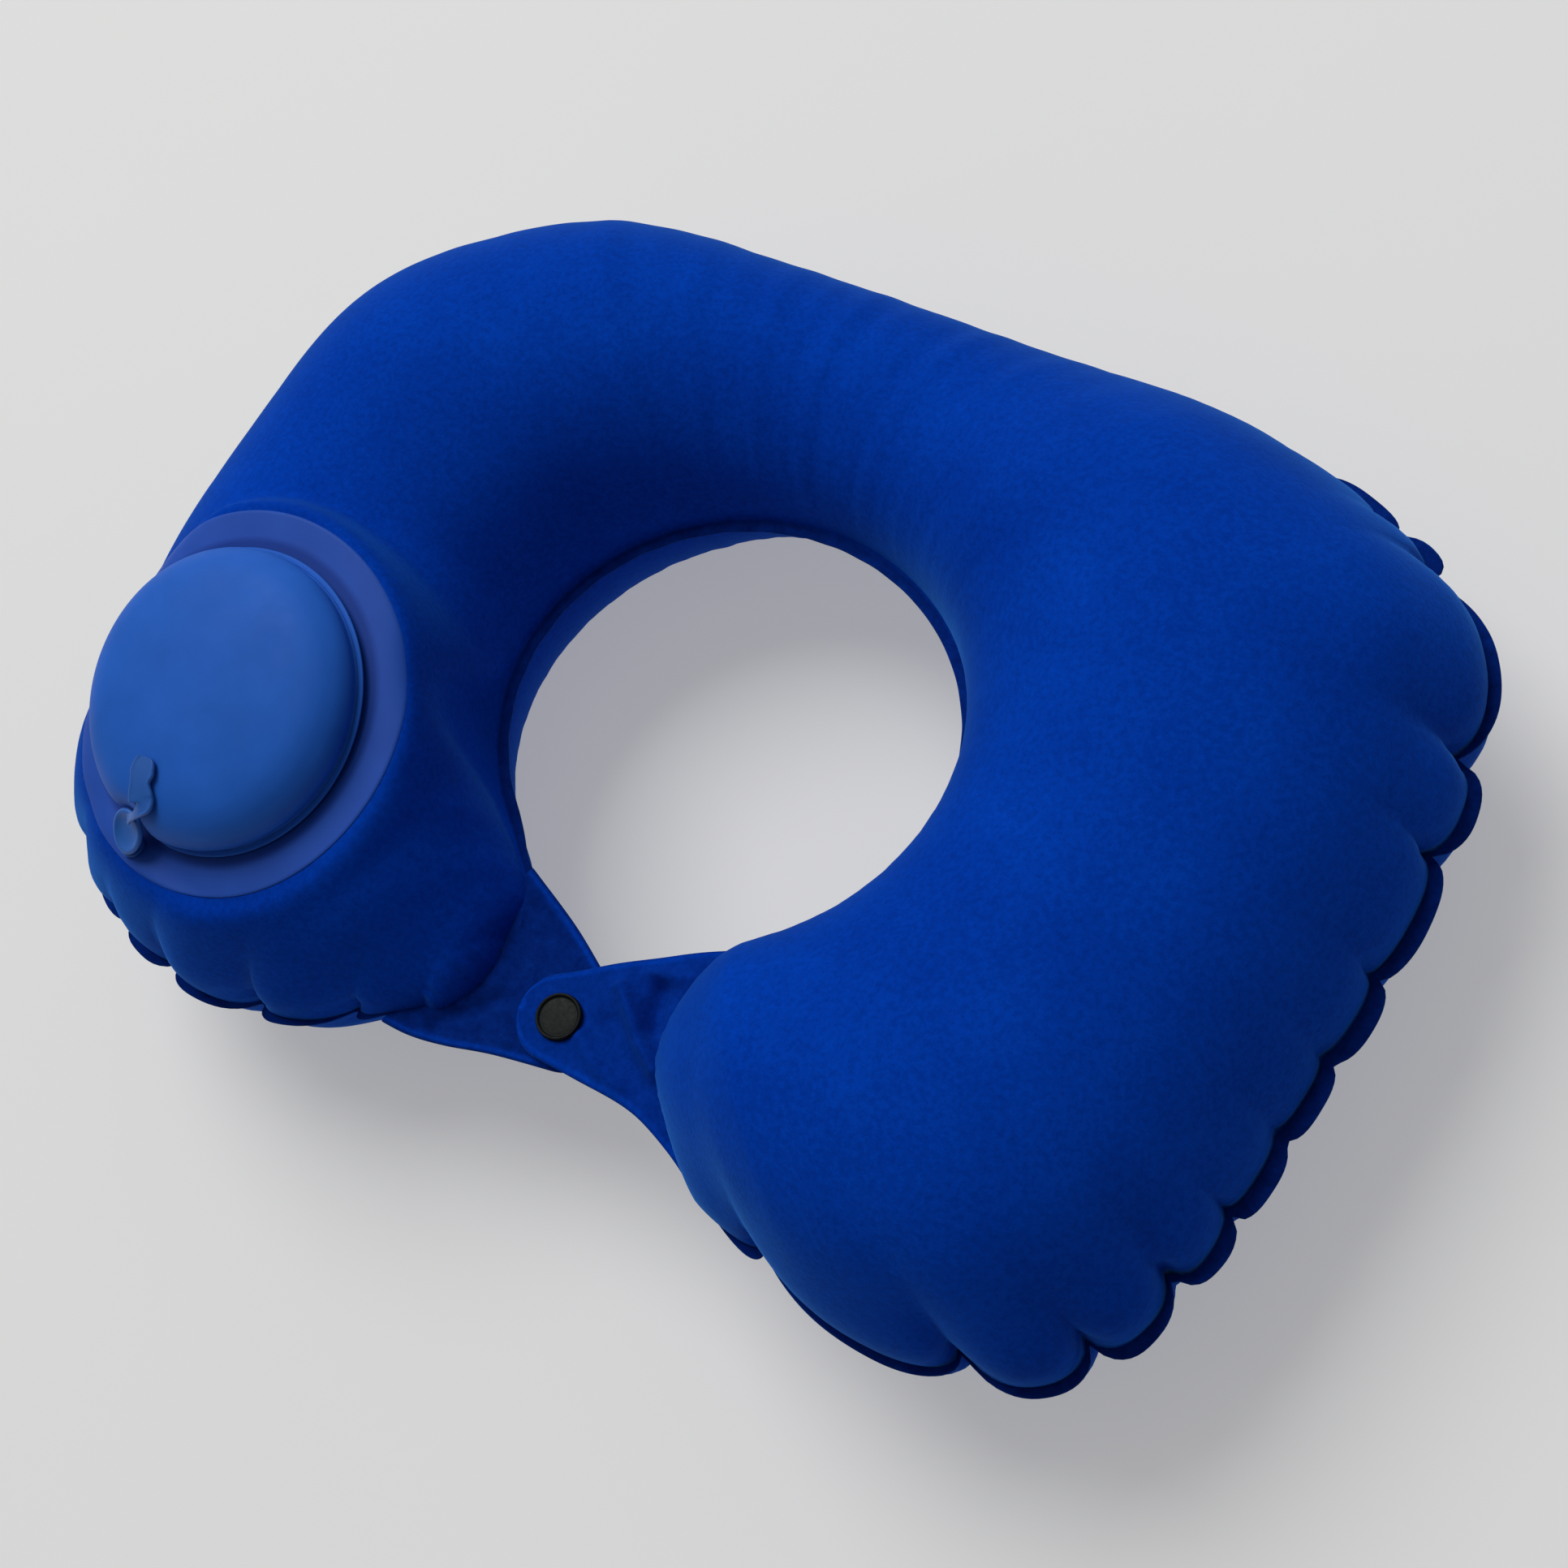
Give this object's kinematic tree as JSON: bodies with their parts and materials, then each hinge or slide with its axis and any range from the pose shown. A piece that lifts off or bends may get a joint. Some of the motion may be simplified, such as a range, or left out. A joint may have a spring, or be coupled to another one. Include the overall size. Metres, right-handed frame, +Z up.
{
  "type": "u shaped inflatable neck pillow",
  "caption": "U-shaped flocked inflatable neck pillow with a press pump on one arm, a release plug and front tabs closed by a snap button.",
  "frame": {"origin": "middle of the bounding box, on the surface that the pillow lies on", "axes": "+X from arm to arm, +Y towards the back of the neck, +Z up; the pump is on the -X arm"},
  "size_m": [0.3776, 0.2603, 0.1251],
  "materials": {
    "flocked_sheet": "flocked, velvety",
    "ring_film": "satin film",
    "dome_rubber": "matte",
    "valve_plastic": "satin",
    "valve_film": "satin",
    "snap_plastic": "satin",
    "foam": "open-cell foam"
  },
  "bodies": {
    "root": {"upper_panel": "flocked_sheet", "lower_panel": "flocked_sheet", "left_tab": "flocked_sheet", "snap_stud": "snap_plastic", "snap_back_cap": "snap_plastic", "pump_flange": "ring_film", "pump_base": "ring_film", "pump_dome_skirt": "dome_rubber", "pump_foam": "foam", "release_spout": "valve_plastic"},
    "crown": {"pump_dome_crown": "dome_rubber"},
    "plug": {"release_plug": "valve_plastic", "release_strap": "valve_plastic"},
    "tab": {"right_tab": "flocked_sheet", "snap_cap": "snap_plastic", "snap_socket": "snap_plastic"},
    "outlet_valve": {"outlet_flap": "valve_film"},
    "intake_valve": {"intake_flap": "valve_film"}
  },
  "joints": [
    {"name": "pump_press", "type": "slide", "parent": "root", "child": "crown", "axis": [-0.0314, 0.2214, -0.9747], "range_m": [0, 0.012], "stiffness_N_per_m": 1000, "deforming": ["pump_foam"]},
    {"name": "plug_pull", "type": "slide", "parent": "root", "child": "plug", "axis": [0.0314, -0.2214, 0.9747], "range_m": [0, 0.005]},
    {"name": "tab_lift", "type": "hinge", "parent": "root", "child": "tab", "pos_m": [0.02652, -0.08038, 0.0533], "axis": [-0.342, 0.9397, 0], "range_deg": [0, 60]},
    {"name": "outlet_flap_swing", "type": "hinge", "parent": "root", "child": "outlet_valve", "pos_m": [-0.10975, -0.06155, 0.10285], "axis": [0, 0.9751, 0.2215], "range_deg": [0, 35], "stiffness_Nm_per_rad": 0.001},
    {"name": "intake_flap_swing", "type": "hinge", "parent": "root", "child": "intake_valve", "pos_m": [-0.13775, -0.05174, 0.11434], "axis": [-0.3419, -0.9187, -0.1977], "range_deg": [0, 30], "stiffness_Nm_per_rad": 0.001}
  ]
}
